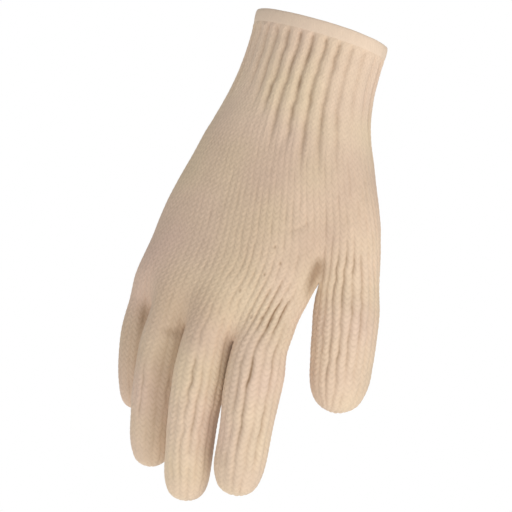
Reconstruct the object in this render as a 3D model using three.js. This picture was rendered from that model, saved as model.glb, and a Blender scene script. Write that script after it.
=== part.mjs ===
import * as THREE from 'three';

// A seamless string-knit cotton work glove, in the shape that it keeps on a right hand that hangs down.
// The origin is the centre of the cuff's opening. +Z runs up out of the cuff, +X towards the thumb and
// -Y out of the back of the hand. Lengths are in millimetres and angles in degrees.
// The glove is knitted in stages, and each stage is a piece here: four finger tubes, the palm that takes
// them, the thumb tube, the palm that takes the thumb as well, and a ribbed cuff with an overcast hem.

// Knit
const wall = 2.0;
const pieceGap = 0.3;

// Cuff: the wrist's width and depth, and the elastic ribs, which fade out over the last share of the cuff.
// The rim dips towards the thumb by an angle.
const hemHeight = 6.5;
const hemThickness = 3.2;
const cuffLength = 56;
const wristWidth = 71;
const wristDepth = 48;
const ribs = 28;
const ribDepth = 1.0;
const ribFade = 0.4;
const rimTilt = 4;

// Hand: the palm without the thumb, from the end of the cuff to the crotches of the fingers
const palmLength = 96;
const palmWidth = 96;
const palmDepth = 35;
const thumbForkShare = 0.6;

// Fingers: the middle finger's size, which the others and the thumb follow
const fingerLength = 85;
const fingerWidth = 25;
const fingerDepth = 23;

// Mesh: rows of quads are about this long, and a stub is the first row of a tube below its crotch
const rowStep = 15;
const stubLength = 9;
const stepsPerRib = 4;
const hemSectionPoints = 8;

// Sections of the cuff, as shares of cuffLength, wristWidth and wristDepth
const cuffSections = [
  { at: 0.0, x: 0.0, y: 0.0, width: 1.0, depth: 1.0 },
  { at: 0.35, x: -0.005, y: 0.0, width: 1.01, depth: 1.0 },
  { at: 0.65, x: -0.01, y: 0.0, width: 1.09, depth: 1.03 },
  { at: 1.0, x: 0.0, y: 0.0, width: 1.315, depth: 1.1 },
];

// Sections of the palm without the thumb, as shares of palmLength, palmWidth and palmDepth.
// arch is how far the sides of the hand bend towards the palm.
const palmSections = [
  { at: 0.0, x: 0.0, y: 0.0, width: 0.95, depth: 1.5, arch: 0.0 },
  { at: 0.3, x: -0.06, y: -0.1, width: 0.98, depth: 1.25, arch: 0.06 },
  { at: 0.6, x: -0.128, y: -0.2, width: 1.015, depth: 1.08, arch: 0.16 },
  { at: 0.85, x: -0.178, y: -0.25, width: 1.0, depth: 0.98, arch: 0.2 },
  { at: 1.0, x: -0.17, y: -0.27, width: 1.03, depth: 0.92, arch: 0.22 },
];

// The oval round palm and thumb together, just under the cuff and where the thumb leaves the palm
const heelSections = [
  { at: 0.0, x: 0.0, y: 0.0, width: 0.973, depth: 1.509 },
  { at: 0.4, x: 0.018, y: 0.02, width: 1.15, depth: 1.5 },
  { at: 1.0, x: 0.025, y: 0.08, width: 1.34, depth: 1.42 },
];

// Fingers and thumb. x and y place the middle of the root as shares of palmWidth, and fork is its depth as a
// share of palmLength. length, width and depth are shares of the middle finger's, and root is how much wider
// the root is. turn is the angle of the width to +X. splay leans the tube towards +X and curl bends it
// towards its own palm side, each at the root and at the tip. columns is how many quads go half way round.
const digitTable = [
  { name: 'little_finger', columns: 4, x: -0.568, y: -0.005, fork: 0.93, length: 0.647, width: 0.79,
    depth: 0.848, root: 1.02, turn: -22, splay: [0, 0], curl: [3, 24] },
  { name: 'ring_finger', columns: 4, x: -0.349, y: -0.1, fork: 0.985, length: 0.888, width: 0.93,
    depth: 0.957, root: 1.02, turn: -13, splay: [-1, 0], curl: [3, 23] },
  { name: 'middle_finger', columns: 4, x: -0.088, y: -0.125, fork: 1.0, length: 1.0, width: 0.99,
    depth: 1.0, root: 1.05, turn: 2, splay: [1, 4], curl: [3, 21] },
  { name: 'index_finger', columns: 4, x: 0.196, y: -0.085, fork: 1.0, length: 0.871, width: 1.06,
    depth: 1.022, root: 1.06, turn: 8, splay: [4, 0], curl: [2, 18] },
  { name: 'thumb', columns: 5, x: 0.45, y: 0.17, fork: thumbForkShare, length: 0.729, width: 1.24,
    depth: 1.174, root: 1.03, turn: 49, splay: [18, 12], curl: [11, 12] },
];
const allDigits = digitTable.map((row) => ({
  ...row, length: row.length * fingerLength, width: row.width * fingerWidth, depth: row.depth * fingerDepth,
}));
const thumb = allDigits.find((digit) => digit.name === 'thumb');
const digits = allDigits.filter((digit) => digit !== thumb);

// Girth of a finger or thumb along its length, as shares of the length and of its width and depth.
// flare is how much of the digit's own widening at the root is left.
const digitProfile = [
  { at: 0.0, girth: 1.0, flare: 1.0 },
  { at: 0.3, girth: 1.035, flare: 0.5 },
  { at: 0.55, girth: 1.01, flare: 0.0 },
  { at: 0.8, girth: 0.94, flare: 0.0 },
  { at: 1.0, girth: 0.82, flare: 0.0 },
];

// A closed tip: how far its last ring lies from the end, in radii, and its girth and the length of the line
// that closes it, as shares of the width
const tip = { back: 0.3, girth: 0.8, closing: 0.36 };

const radians = THREE.MathUtils.degToRad;
const mix = THREE.MathUtils.lerp;
const cuffEndZ = -(hemHeight + cuffLength);

// Reads a table of sections at a share of the length, with a smooth run between its rows.
function sectionAt(table, share) {
  const last = table.findIndex((row) => row.at >= share);
  const next = table[last < 1 ? 1 : last];
  const before = table[last < 1 ? 0 : last - 1];
  const t = (share - before.at) / (next.at - before.at);
  const read = {};
  for (const key of Object.keys(before)) read[key] = mix(before[key], next[key], t);
  return read;
}

// Half an oval, from the little finger's side to the thumb's, in even steps of arc length.
function halfOval({ x, y, width, depth, arch = 0, turn = 0 }, columns, side) {
  const palmSide = side > 0;
  const curve = new THREE.EllipseCurve(0, 0, width / 2, depth / 2, Math.PI, palmSide ? 0 : 2 * Math.PI, palmSide);
  return curve.getSpacedPoints(columns).map((p) => {
    const bent = new THREE.Vector2(p.x, p.y + arch * (2 * p.x / width) ** 2);
    return bent.rotateAround(new THREE.Vector2(), radians(turn)).add(new THREE.Vector2(x, y));
  });
}

// A ring runs over the back of the hand from the little finger's side to the thumb's, and home on the palm side.
const backOf = (ring, column) => ring[column];
const palmOf = (ring, column) => ring[(ring.length - column) % ring.length];

function ringOf(columns, backPoint, palmPoint) {
  const ring = [];
  for (let j = 0; j <= columns; j++) ring.push(backPoint(j));
  for (let j = columns - 1; j > 0; j--) ring.push(palmPoint(j));
  return ring;
}

function ovalRing(section, columns, z) {
  const back = halfOval(section, columns, -1);
  const palm = halfOval(section, columns, 1);
  const lift = (p) => new THREE.Vector3(p.x, p.y, z);
  return ringOf(columns, (j) => lift(back[j]), (j) => lift(palm[j]));
}

const mixRings = (a, b, weight) => a.map((p, k) => p.clone().lerp(b[k], weight));

// A subdivision surface pulls a tube with few columns inwards. This widens the cage to make up for it.
const cageSwell = (columns) => 3 / (2 + Math.cos(Math.PI / columns));

const scaled = (row, widthUnit, depthUnit, placeUnit = widthUnit) => ({
  x: row.x * widthUnit, y: row.y * placeUnit, width: row.width * widthUnit, depth: row.depth * depthUnit,
  arch: (row.arch ?? 0) * depthUnit,
});
const cuffSection = (share) => scaled(sectionAt(cuffSections, share), wristWidth, wristDepth);
const palmSection = (share) => scaled(sectionAt(palmSections, share), palmWidth, palmDepth, palmDepth);
const heelSection = (share) => scaled(sectionAt(heelSections, share), palmWidth, palmDepth, palmDepth);

// The centre line of a finger or thumb: a step along it leans and curls a little more than the last.
function centreLine(digit) {
  const steps = 24;
  const turn = radians(digit.turn);
  const side = new THREE.Vector3(Math.cos(turn), Math.sin(turn), 0);
  const palmward = new THREE.Vector3(-side.y, side.x, 0);
  const down = new THREE.Vector3(0, 0, -1);
  const point = new THREE.Vector3(digit.x * palmWidth, digit.y * palmWidth, cuffEndZ - digit.fork * palmLength);
  const stations = [];
  for (let i = 0; i <= steps; i++) {
    const share = i / steps;
    const along = down.clone()
      .applyAxisAngle(new THREE.Vector3(0, 1, 0), -radians(mix(...digit.splay, share)))
      .applyAxisAngle(side, radians(mix(...digit.curl, share)));
    const across = side.clone().addScaledVector(along, -side.dot(along)).normalize();
    const normal = new THREE.Vector3().crossVectors(across, along).normalize();
    stations.push({ point: point.clone(), across, normal });
    point.addScaledVector(along, digit.length / steps);
  }
  return (share) => {
    const place = Math.min(Math.max(share, 0), 1) * steps;
    const i = Math.min(Math.floor(place), steps - 1);
    const [a, b] = [stations[i], stations[i + 1]];
    return {
      point: a.point.clone().lerp(b.point, place - i),
      across: a.across.clone().lerp(b.across, place - i).normalize(),
      normal: a.normal.clone().lerp(b.normal, place - i).normalize(),
    };
  };
}

// One ring of a finger or thumb, shrink is its size beside the digit's own section.
function digitRing(digit, line, share, shrink = 1) {
  const { point, across, normal } = line(share);
  const { girth: own, flare } = sectionAt(digitProfile, share);
  const girth = own * mix(1, digit.root, flare) * cageSwell(digit.columns) * shrink;
  const flat = { x: 0, y: 0, width: digit.width * girth, depth: digit.depth * girth };
  const place = (p) => point.clone().addScaledVector(across, p.x).addScaledVector(normal, p.y);
  const back = halfOval(flat, digit.columns, -1);
  const palm = halfOval(flat, digit.columns, 1);
  return ringOf(digit.columns, (j) => place(back[j]), (j) => place(palm[j]));
}

// The cage: points, and quads that each belong to one piece.
const cage = { points: [], faces: [] };
const addRing = (ring) => ring.map((p) => cage.points.push(p) - 1);

function addBand(upper, lower, piece) {
  for (let k = 0; k < upper.length; k++) {
    const n = (k + 1) % upper.length;
    cage.faces.push({ corners: [upper[k], lower[k], lower[n], upper[n]], piece });
  }
}

// Closes a tube's end with two rows of quads that meet on a line from side to side.
function addTip(ring, middle, piece) {
  const columns = ring.length / 2;
  const line = [];
  for (let j = 2; j <= columns - 2; j++) line[j] = cage.points.push(middle(j / columns)) - 1;
  const [first, last] = [line[2], line[columns - 2]];
  const quads = [
    [ring[0], first, backOf(ring, 2), backOf(ring, 1)],
    [ring[0], palmOf(ring, 1), palmOf(ring, 2), first],
    [backOf(ring, columns), backOf(ring, columns - 1), backOf(ring, columns - 2), last],
    [backOf(ring, columns), last, palmOf(ring, columns - 2), palmOf(ring, columns - 1)],
  ];
  for (let j = 2; j < columns - 2; j++) {
    quads.push([line[j], line[j + 1], backOf(ring, j + 1), backOf(ring, j)]);
    quads.push([line[j], palmOf(ring, j), palmOf(ring, j + 1), line[j + 1]]);
  }
  for (const corners of quads) cage.faces.push({ corners, piece });
}

// The columns from one crotch to the next, out of a ring whose crotch points are shared by back and palm.
function ringPart(ring, from, to) {
  const part = [];
  for (let j = from; j <= to; j++) part.push(backOf(ring, j));
  for (let j = to - 1; j > from; j--) part.push(palmOf(ring, j));
  return part;
}

// A finger or thumb, from the ring where it leaves the hand to its closed tip.
function addDigit(digit, rootRing, rootPiece) {
  const line = centreLine(digit);
  const round = 0.5 * digit.width / digit.length;
  const stub = stubLength / digit.length;
  const rows = Math.max(1, Math.round((1 - round - stub) * digit.length / rowStep));
  const shares = [];
  for (let i = 0; i <= rows; i++) shares.push({ share: mix(stub, 1 - round, i / rows), shrink: 1 });
  shares.push({ share: 1 - tip.back * round, shrink: tip.girth });
  let upper = rootRing;
  shares.forEach(({ share, shrink }, i) => {
    const lower = addRing(digitRing(digit, line, share, shrink));
    addBand(upper, lower, i === 0 ? rootPiece : digit.name);
    upper = lower;
  });
  const end = line(1);
  const reach = tip.closing * digit.width;
  addTip(upper, (share) => end.point.clone().addScaledVector(end.across, (share - 0.5) * reach), digit.name);
}

const fingerColumns = digits.map((d) => d.columns);
const forks = fingerColumns.map((_, i) => fingerColumns.slice(0, i).reduce((a, b) => a + b, 0));
const palmColumns = fingerColumns.reduce((a, b) => a + b, 0);
const handColumns = palmColumns + thumb.columns;

// The ring on which the palm turns into four fingers: the fingers' own root rings, side by side.
function fingerForkRing() {
  const roots = digits.map((d) => digitRing(d, centreLine(d), 0, 1 / cageSwell(d.columns)));
  const points = (pick) => (j) => {
    const i = forks.findLastIndex((from) => from < j);
    if (i < 0) return roots[0][0].clone();
    const own = pick(roots[i], j - forks[i]).clone();
    const next = roots[i + 1];
    return j === forks[i + 1] ? own.lerp(next[0], 0.5) : own;
  };
  return ringOf(palmColumns, points(backOf), points(palmOf));
}

// The palm without the thumb, between the thumb's crotch and those of the fingers.
function palmRing(share, forkRing) {
  const z = cuffEndZ - share * palmLength;
  const oval = ovalRing(palmSection(share), palmColumns, z);
  const depth = (share - thumbForkShare) / (1 - thumbForkShare);
  const ring = mixRings(oval, forkRing, Math.max(depth, 0) ** 3);
  ring.forEach((p, k) => { p.z = mix(cuffEndZ - thumbForkShare * palmLength, forkRing[k].z, Math.max(depth, 0)); });
  return ring;
}

// The ring on which the thumb leaves the palm: the palm's ring and the thumb's root, side by side.
function thumbForkRing(palm) {
  const root = digitRing(thumb, centreLine(thumb), 0, 1 / cageSwell(thumb.columns));
  const crotch = backOf(palm, palmColumns).clone().lerp(root[0], 0.5);
  const point = (pick) => (j) => {
    if (j === palmColumns) return crotch.clone();
    return (j < palmColumns ? pick(palm, j) : pick(root, j - palmColumns)).clone();
  };
  return ringOf(handColumns, point(backOf), point(palmOf));
}

function buildCage() {
  const forkRing = fingerForkRing();
  const thumbFork = thumbForkRing(palmRing(thumbForkShare, forkRing));
  // From the cuff's end to the thumb's crotch the oval round the whole hand turns into that ring.
  const heelRows = Math.round(thumbForkShare * palmLength / rowStep);
  let upper = null;
  for (let i = 0; i < heelRows; i++) {
    const share = i / heelRows;
    const z = cuffEndZ - share * thumbForkShare * palmLength;
    const oval = ovalRing(heelSection(share), handColumns, z);
    const ring = mixRings(oval, thumbFork, share ** 2);
    ring.forEach((p) => { p.z = z; });
    const lower = addRing(ring);
    if (upper) addBand(upper, lower, 'lower_palm');
    upper = lower;
  }
  const fork = addRing(thumbFork);
  fork[2 * handColumns - palmColumns] = fork[palmColumns];
  addBand(upper, fork, 'lower_palm');
  addDigit(thumb, ringPart(fork, palmColumns, handColumns), 'lower_palm');

  const stubShare = thumbForkShare + stubLength / palmLength;
  const palmRows = Math.round((1 - stubShare) * palmLength / rowStep);
  upper = ringPart(fork, 0, palmColumns);
  for (let i = 0; i < palmRows; i++) {
    const lower = addRing(palmRing(mix(stubShare, 1, i / palmRows), forkRing));
    addBand(upper, lower, i === 0 ? 'lower_palm' : 'upper_palm');
    upper = lower;
  }
  const fingers = addRing(forkRing);
  for (const from of forks.slice(1)) fingers[2 * palmColumns - from] = fingers[from];
  addBand(upper, fingers, 'upper_palm');
  digits.forEach((digit, i) => {
    addDigit(digit, ringPart(fingers, forks[i], forks[i] + digit.columns), 'upper_palm');
  });
}

// One Catmull-Clark step: each quad becomes four, and the surface is smoothed.
function subdivide({ points, faces }) {
  const edges = new Map();
  const edgeOf = (a, b) => {
    const key = a < b ? `${a},${b}` : `${b},${a}`;
    if (!edges.has(key)) edges.set(key, { ends: [a, b], faces: [] });
    return edges.get(key);
  };
  const centres = faces.map(({ corners }) =>
    corners.reduce((sum, c) => sum.add(points[c]), new THREE.Vector3()).divideScalar(corners.length));
  faces.forEach(({ corners }, f) =>
    corners.forEach((c, i) => edgeOf(c, corners[(i + 1) % corners.length]).faces.push(f)));
  const around = points.map(() => ({ faces: [], middles: [], rim: [] }));
  faces.forEach(({ corners }, f) => corners.forEach((c) => around[c].faces.push(centres[f])));
  const next = points.map((p) => p.clone());
  for (const edge of edges.values()) {
    const middle = points[edge.ends[0]].clone().lerp(points[edge.ends[1]], 0.5);
    const open = edge.faces.length < 2;
    for (const c of edge.ends) (open ? around[c].rim : around[c].middles).push(middle);
    const point = open ? middle.clone()
      : middle.clone().lerp(centres[edge.faces[0]].clone().lerp(centres[edge.faces[1]], 0.5), 0.5);
    edge.index = next.push(point) - 1;
  }
  const mean = (list) => list.reduce((sum, p) => sum.add(p), new THREE.Vector3()).divideScalar(list.length);
  points.forEach((p, i) => {
    const { faces: near, middles, rim } = around[i];
    if (rim.length) next[i] = p.clone().lerp(mean(rim), 0.5);
    else {
      const n = near.length;
      next[i] = mean(near).addScaledVector(mean(middles), 2).addScaledVector(p, n - 3).divideScalar(n);
    }
  });
  const finer = [];
  faces.forEach(({ corners, piece }, f) => {
    const centre = next.push(centres[f]) - 1;
    corners.forEach((c, i) => {
      const after = edgeOf(c, corners[(i + 1) % 4]).index;
      const before = edgeOf(corners[(i + 3) % 4], c).index;
      finer.push({ corners: [c, after, centre, before], piece });
    });
  });
  return { points: next, faces: finer };
}

// Moves each point to where endless subdivision would take it, so that the facets lie on the smooth surface.
function settle({ points, faces }) {
  const near = points.map(() => ({ edges: new Map(), corners: [] }));
  faces.forEach(({ corners }) => corners.forEach((c, i) => {
    near[c].corners.push(corners[(i + 2) % 4]);
    for (const other of [corners[(i + 1) % 4], corners[(i + 3) % 4]]) {
      near[c].edges.set(other, (near[c].edges.get(other) ?? 0) + 1);
    }
  }));
  const settled = points.map((p, i) => {
    const { edges, corners } = near[i];
    const rim = [...edges].filter(([, uses]) => uses < 2).map(([other]) => other);
    if (rim.length) return p.clone().multiplyScalar(4).add(points[rim[0]]).add(points[rim[1]]).divideScalar(6);
    const n = corners.length;
    const sum = p.clone().multiplyScalar(n * n);
    for (const other of edges.keys()) sum.addScaledVector(points[other], 4);
    for (const other of corners) sum.add(points[other]);
    return sum.divideScalar(n * (n + 5));
  });
  return { points: settled, faces };
}

function vertexNormals({ points, faces }) {
  const normals = points.map(() => new THREE.Vector3());
  for (const { corners: [a, b, c, d] } of faces) {
    const normal = points[c].clone().sub(points[a]).cross(points[d].clone().sub(points[b]));
    for (const corner of [a, b, c, d]) normals[corner].add(normal);
  }
  return normals.map((n) => n.normalize());
}

function geometryOf(points, triangles) {
  const geometry = new THREE.BufferGeometry().setFromPoints(points);
  geometry.setIndex(triangles.flat());
  geometry.computeVertexNormals();
  return geometry;
}

const twoTriangles = (a, b, c, d) => [[a, b, c], [a, c, d]];

// One piece as a closed wall: its outer faces, the same faces moved inwards, and a strip round each open edge.
function wallPiece({ points, faces }, normals, piece) {
  const own = faces.filter((face) => face.piece === piece);
  const used = new Map();
  for (const { corners } of own) for (const c of corners) if (!used.has(c)) used.set(c, used.size);
  const open = new Map();
  for (const { corners } of own) {
    corners.forEach((a, i) => {
      const b = corners[(i + 1) % 4];
      if (!open.delete(`${b},${a}`)) open.set(`${a},${b}`, [a, b]);
    });
  }
  const rim = new Set([...open.values()].flat());
  // A point on an open edge steps back from it by half the gap to the next piece.
  const stepBack = new Map([...rim].map((c) => [c, new THREE.Vector3()]));
  for (const { corners } of own) {
    corners.forEach((c, i) => {
      for (const other of [corners[(i + 1) % 4], corners[(i + 3) % 4]]) {
        if (rim.has(c) && !rim.has(other)) stepBack.get(c).add(points[other]).sub(points[c]);
      }
    });
  }
  const outer = [...used.keys()].map((c) => {
    const p = points[c].clone();
    return rim.has(c) ? p.addScaledVector(stepBack.get(c).normalize(), pieceGap / 2) : p;
  });
  const inner = [...used.keys()].map((c, i) => outer[i].clone().addScaledVector(normals[c], -wall));
  const triangles = [];
  for (const { corners } of own) {
    const [a, b, c, d] = corners.map((corner) => used.get(corner));
    triangles.push(...twoTriangles(a, b, c, d));
    const n = used.size;
    triangles.push(...twoTriangles(d + n, c + n, b + n, a + n));
  }
  for (const [a, b] of open.values()) {
    const [i, j, n] = [used.get(a), used.get(b), used.size];
    triangles.push(...twoTriangles(j, i, i + n, j + n));
  }
  return geometryOf([...outer, ...inner], triangles);
}

// A closed band round the wrist. profile gives, for each point of its section, the depth below the rim and
// how far out from the cuff's section it lies; ripple adds a height that changes round the band.
function wristBand(profile, steps, sectionFor, ripple) {
  const points = [];
  for (const { z, out, rippled } of profile) {
    const ring = ovalRing(sectionFor(z), steps / 2, z);
    const tilt = Math.tan(radians(rimTilt)) * THREE.MathUtils.clamp((z - cuffEndZ) / cuffLength, 0, 1);
    ring.forEach((p) => { p.z -= tilt * p.x; });
    ring.forEach((p, k) => {
      const before = ring[(k + ring.length - 1) % ring.length];
      const after = ring[(k + 1) % ring.length];
      const normal = new THREE.Vector3(after.y - before.y, before.x - after.x, 0).normalize();
      points.push(p.clone().addScaledVector(normal, out + (rippled ? ripple(k / steps, z) : 0)));
    });
  }
  const triangles = [];
  profile.forEach((_, row) => {
    const below = (row + 1) % profile.length;
    for (let k = 0; k < steps; k++) {
      const n = (k + 1) % steps;
      triangles.push(...twoTriangles(row * steps + k, below * steps + k, below * steps + n, row * steps + n));
    }
  });
  return geometryOf(points, triangles);
}

const wristSectionAt = (z) => cuffSection(THREE.MathUtils.clamp((-z - hemHeight) / cuffLength, 0, 1));

// The ribs are deepest in the middle of the cuff and fade out where the palm begins.
function ribbedCuff() {
  const rows = Math.round(cuffLength / rowStep);
  const outside = [];
  for (let i = 0; i <= rows; i++) {
    const z = mix(-hemHeight - pieceGap / 2, cuffEndZ + pieceGap / 2, i / rows);
    outside.push({ z, out: 0, rippled: true });
  }
  const inside = outside.map(({ z }) => ({ z, out: -wall, rippled: false })).reverse();
  const fade = (z) => THREE.MathUtils.smoothstep(z, cuffEndZ, cuffEndZ + ribFade * cuffLength);
  const ripple = (turn, z) => -ribDepth * fade(z) * (0.5 + 0.5 * Math.cos(2 * Math.PI * ribs * turn));
  return wristBand([...outside, ...inside], ribs * stepsPerRib, wristSectionAt, ripple);
}

// The hem is a rolled edge: a rounded section, a little thicker than the knit.
function cuffHem() {
  const half = hemHeight / 2 - pieceGap / 4;
  const profile = [];
  for (let i = 0; i < hemSectionPoints; i++) {
    const angle = 2 * Math.PI * (i + 0.5) / hemSectionPoints;
    profile.push({
      z: -half + half * Math.sin(angle),
      out: -wall / 2 + hemThickness / 2 * Math.sign(Math.cos(angle)) * Math.abs(Math.cos(angle)) ** 0.6,
      rippled: false,
    });
  }
  return wristBand(profile.reverse(), ribs * 2, wristSectionAt);
}

buildCage();
const knit = settle(subdivide(cage));
const knitNormals = vertexNormals(knit);

const natural = new THREE.MeshStandardMaterial({ color: 0xdcc3a6, roughness: 0.95, metalness: 0 });
const ribbing = new THREE.MeshStandardMaterial({ color: 0xd9bea0, roughness: 0.95, metalness: 0 });
const overcast = new THREE.MeshStandardMaterial({ color: 0xdfc9ae, roughness: 0.9, metalness: 0 });

const glove = new THREE.Group();
function add(name, geometry, material) {
  const mesh = new THREE.Mesh(geometry, material);
  mesh.name = name;
  glove.add(mesh);
}
for (const piece of ['lower_palm', 'upper_palm', 'thumb', ...digits.map((d) => d.name)]) {
  add(piece, wallPiece(knit, knitNormals, piece), natural);
}
add('ribbed_cuff', ribbedCuff(), ribbing);
add('cuff_hem', cuffHem(), overcast);

export default glove;
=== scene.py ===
# %% [markdown]
# # A cotton work glove, knitted without seams
#
# This lesson dresses a fixed frame: the solids of a string-knit work glove that was worked out in CAD. The
# frame says where each piece is and how large it is. Blender adds what the eye sees, above all the knit.
#
# It is a right glove in its worn shape, with the fingers down. Z runs up out of the cuff, X towards the
# thumb and minus Y out of its back. Blender works in metres, so sizes in millimetres are multiplied by MM.

# %% Load the frame
import math

import bpy
import numpy as np
from mathutils import Matrix, Vector
from mathutils.kdtree import KDTree


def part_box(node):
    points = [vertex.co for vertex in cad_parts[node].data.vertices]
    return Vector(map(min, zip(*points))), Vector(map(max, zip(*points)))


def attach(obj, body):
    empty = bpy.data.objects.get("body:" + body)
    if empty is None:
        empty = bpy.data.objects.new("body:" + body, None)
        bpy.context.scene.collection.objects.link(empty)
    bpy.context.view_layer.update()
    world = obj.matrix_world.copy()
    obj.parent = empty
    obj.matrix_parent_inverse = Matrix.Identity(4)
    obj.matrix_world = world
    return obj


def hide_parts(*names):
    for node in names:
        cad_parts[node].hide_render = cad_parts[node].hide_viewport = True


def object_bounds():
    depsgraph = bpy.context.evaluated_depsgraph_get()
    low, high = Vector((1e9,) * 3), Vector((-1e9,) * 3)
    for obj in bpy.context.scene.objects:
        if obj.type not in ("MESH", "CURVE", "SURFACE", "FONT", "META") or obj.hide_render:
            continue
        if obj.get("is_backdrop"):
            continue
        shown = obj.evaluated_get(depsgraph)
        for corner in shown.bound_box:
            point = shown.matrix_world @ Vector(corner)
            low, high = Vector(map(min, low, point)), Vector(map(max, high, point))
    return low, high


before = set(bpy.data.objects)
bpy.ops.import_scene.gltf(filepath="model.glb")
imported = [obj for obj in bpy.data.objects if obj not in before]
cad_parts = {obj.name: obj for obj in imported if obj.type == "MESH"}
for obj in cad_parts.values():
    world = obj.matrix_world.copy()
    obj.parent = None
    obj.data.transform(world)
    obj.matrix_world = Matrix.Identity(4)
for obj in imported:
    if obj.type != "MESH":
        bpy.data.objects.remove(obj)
cad_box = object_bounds()
MM = 0.001
for node in sorted(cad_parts):
    low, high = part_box(node)
    print(f"{node}: {(high.z - low.z) / MM:.0f} mm high, lowest point {low.z / MM:.0f} mm")

# %% [markdown]
# ## One cage for the whole knit
#
# A machine knits such a glove in one go, so its rows of stitches run on from a finger into the palm and
# the cuff. In edit mode it could be extruded ring by ring, or made of tubes that are bridged. Here code
# writes the rings, because every quad needs its exact place in the knit. The coarse cage forks where the
# glove forks, and a Subdivision Surface smooths it. Each quad is two wales wide, a wale being one column
# of stitches. The same cage, with longer rows, gives the solids of the frame their shape.

# %% Sizes of the glove
hem_height = 6.5 * MM
cuff_length = 56 * MM
wrist_width = 71 * MM
wrist_depth = 48 * MM
rim_tilt = math.radians(4)

palm_length = 96 * MM
palm_width = 96 * MM
palm_depth = 35 * MM
thumb_fork_share = 0.6

finger_length = 85 * MM
finger_width = 25 * MM
finger_depth = 23 * MM

row_step = 8 * MM
stub_length = 9 * MM
knit_wall = 2.0 * MM
course_height = 2.67 * MM
wales_per_column = 2
cuff_end = -(hem_height + cuff_length)
print(f"palm {palm_width / MM:.0f} mm wide, cuff and hem {-cuff_end / MM:.1f} mm long")


# %% [markdown]
# ## The shape in tables
#
# The cuff and the palm are ovals that change from row to row, and the fingers and the thumb are tubes that
# taper and bend. Their outlines could be drawn in edit mode. Tables of a few sections are easier to correct,
# and they hold shares of the sizes above, so one changed size carries the rest with it.

# %% Sections of the cuff and the palm
# arch is how far the sides bend towards the palm.
def table(columns, *rows):
    """Rows of values, each under the name of its column."""
    return [dict(zip(columns.split(), row)) for row in rows]


cuff_sections = table(
    "at x y width depth",
    (0.0, 0.0, 0.0, 1.0, 1.0),
    (0.35, -0.005, 0.0, 1.01, 1.0),
    (0.65, -0.01, 0.0, 1.09, 1.03),
    (1.0, 0.0, 0.0, 1.315, 1.1),
)
heel_sections = table(
    "at x y width depth",
    (0.0, 0.0, 0.0, 0.973, 1.509),
    (0.4, 0.018, 0.02, 1.15, 1.5),
    (1.0, 0.025, 0.08, 1.34, 1.42),
)
palm_sections = table(
    "at x y width depth arch",
    (0.0, 0.0, 0.0, 0.95, 1.5, 0.0),
    (0.3, -0.06, -0.1, 0.98, 1.25, 0.06),
    (0.6, -0.128, -0.2, 1.015, 1.08, 0.16),
    (0.85, -0.178, -0.25, 1.0, 0.98, 0.2),
    (1.0, -0.17, -0.27, 1.03, 0.92, 0.22),
)
print(f"the palm is up to {max(row['width'] for row in palm_sections) * palm_width / MM:.0f} mm wide")

# %% Fingers and thumb
# root is the girth where a digit starts, turn its angle about Z, and splay and curl hold the degrees by
# which it leans aside and bends to the palm, at its root and at its tip.
digit_profile = table(
    "at girth flare",
    (0.0, 1.0, 1.0),
    (0.3, 1.035, 0.5),
    (0.55, 1.01, 0.0),
    (0.8, 0.94, 0.0),
    (1.0, 0.82, 0.0),
)
digit_table = table(
    "name columns x y fork length width depth root turn splay curl",
    ("little_finger", 4, -0.568, -0.005, 0.93, 0.647, 0.79, 0.848, 1.02, -22, (0, 0), (3, 24)),
    ("ring_finger", 4, -0.349, -0.1, 0.985, 0.888, 0.93, 0.957, 1.02, -13, (-1, 0), (3, 23)),
    ("middle_finger", 4, -0.088, -0.125, 1.0, 1.0, 0.99, 1.0, 1.05, 2, (1, 4), (3, 21)),
    ("index_finger", 4, 0.196, -0.085, 1.0, 0.871, 1.06, 1.022, 1.06, 8, (4, 0), (2, 18)),
    ("thumb", 5, 0.45, 0.17, thumb_fork_share, 0.729, 1.24, 1.174, 1.03, 49, (18, 12), (11, 12)),
)
tip = dict(back=0.3, girth=0.8, closing=0.36)

for digit in digit_table:
    digit.update(length=digit["length"] * finger_length, width=digit["width"] * finger_width,
                 depth=digit["depth"] * finger_depth)
    print(f"{digit['name']}: {digit['length'] / MM:.0f} mm long, {digit['width'] / MM:.1f} mm wide")
fingers = digit_table[:4]
thumb = digit_table[4]
forks = np.cumsum([0] + [digit["columns"] for digit in fingers])
palm_columns = int(forks[-1])
hand_columns = palm_columns + thumb["columns"]
wales_round = 2 * wales_per_column * hand_columns
print(f"{wales_round} wales run round the cuff and {2 * wales_per_column * palm_columns} round the palm")

# %% [markdown]
# ## Ovals of even steps
#
# Stitches are all about as wide, on the flat back as well as at the narrow sides. Points at even angles
# round an oval would crowd at its sides, so they are placed at even steps along its arc. Each ring starts
# at the little finger's side, runs over the back to the thumb's side, and comes home on the palm.

# %% Ovals and rings
oval_steps = 720


def mix(a, b, share):
    return a + (b - a) * share


def section_at(sections, share):
    places = [row["at"] for row in sections]
    return {key: float(np.interp(share, places, [row[key] for row in sections])) for key in sections[0]}


def half_oval(section, columns, palm):
    """Half an oval from the little finger's side to the thumb's, in even steps along its arc."""
    angle = np.linspace(0.0, math.pi, oval_steps + 1)
    x = -0.5 * section["width"] * np.cos(angle)
    y = (0.5 if palm else -0.5) * section["depth"] * np.sin(angle)
    run = np.concatenate([[0.0], np.cumsum(np.hypot(np.diff(x), np.diff(y)))])
    even = np.linspace(0.0, run[-1], columns + 1)
    x, y = np.interp(even, run, x), np.interp(even, run, y)
    bend = section.get("arch", 0.0) * (2.0 * x / section["width"]) ** 2
    return np.stack([x + section["x"], y + bend + section["y"]], axis=1)


def ring_of(back, palm):
    return np.vstack([back, palm[-2:0:-1]])


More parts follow.
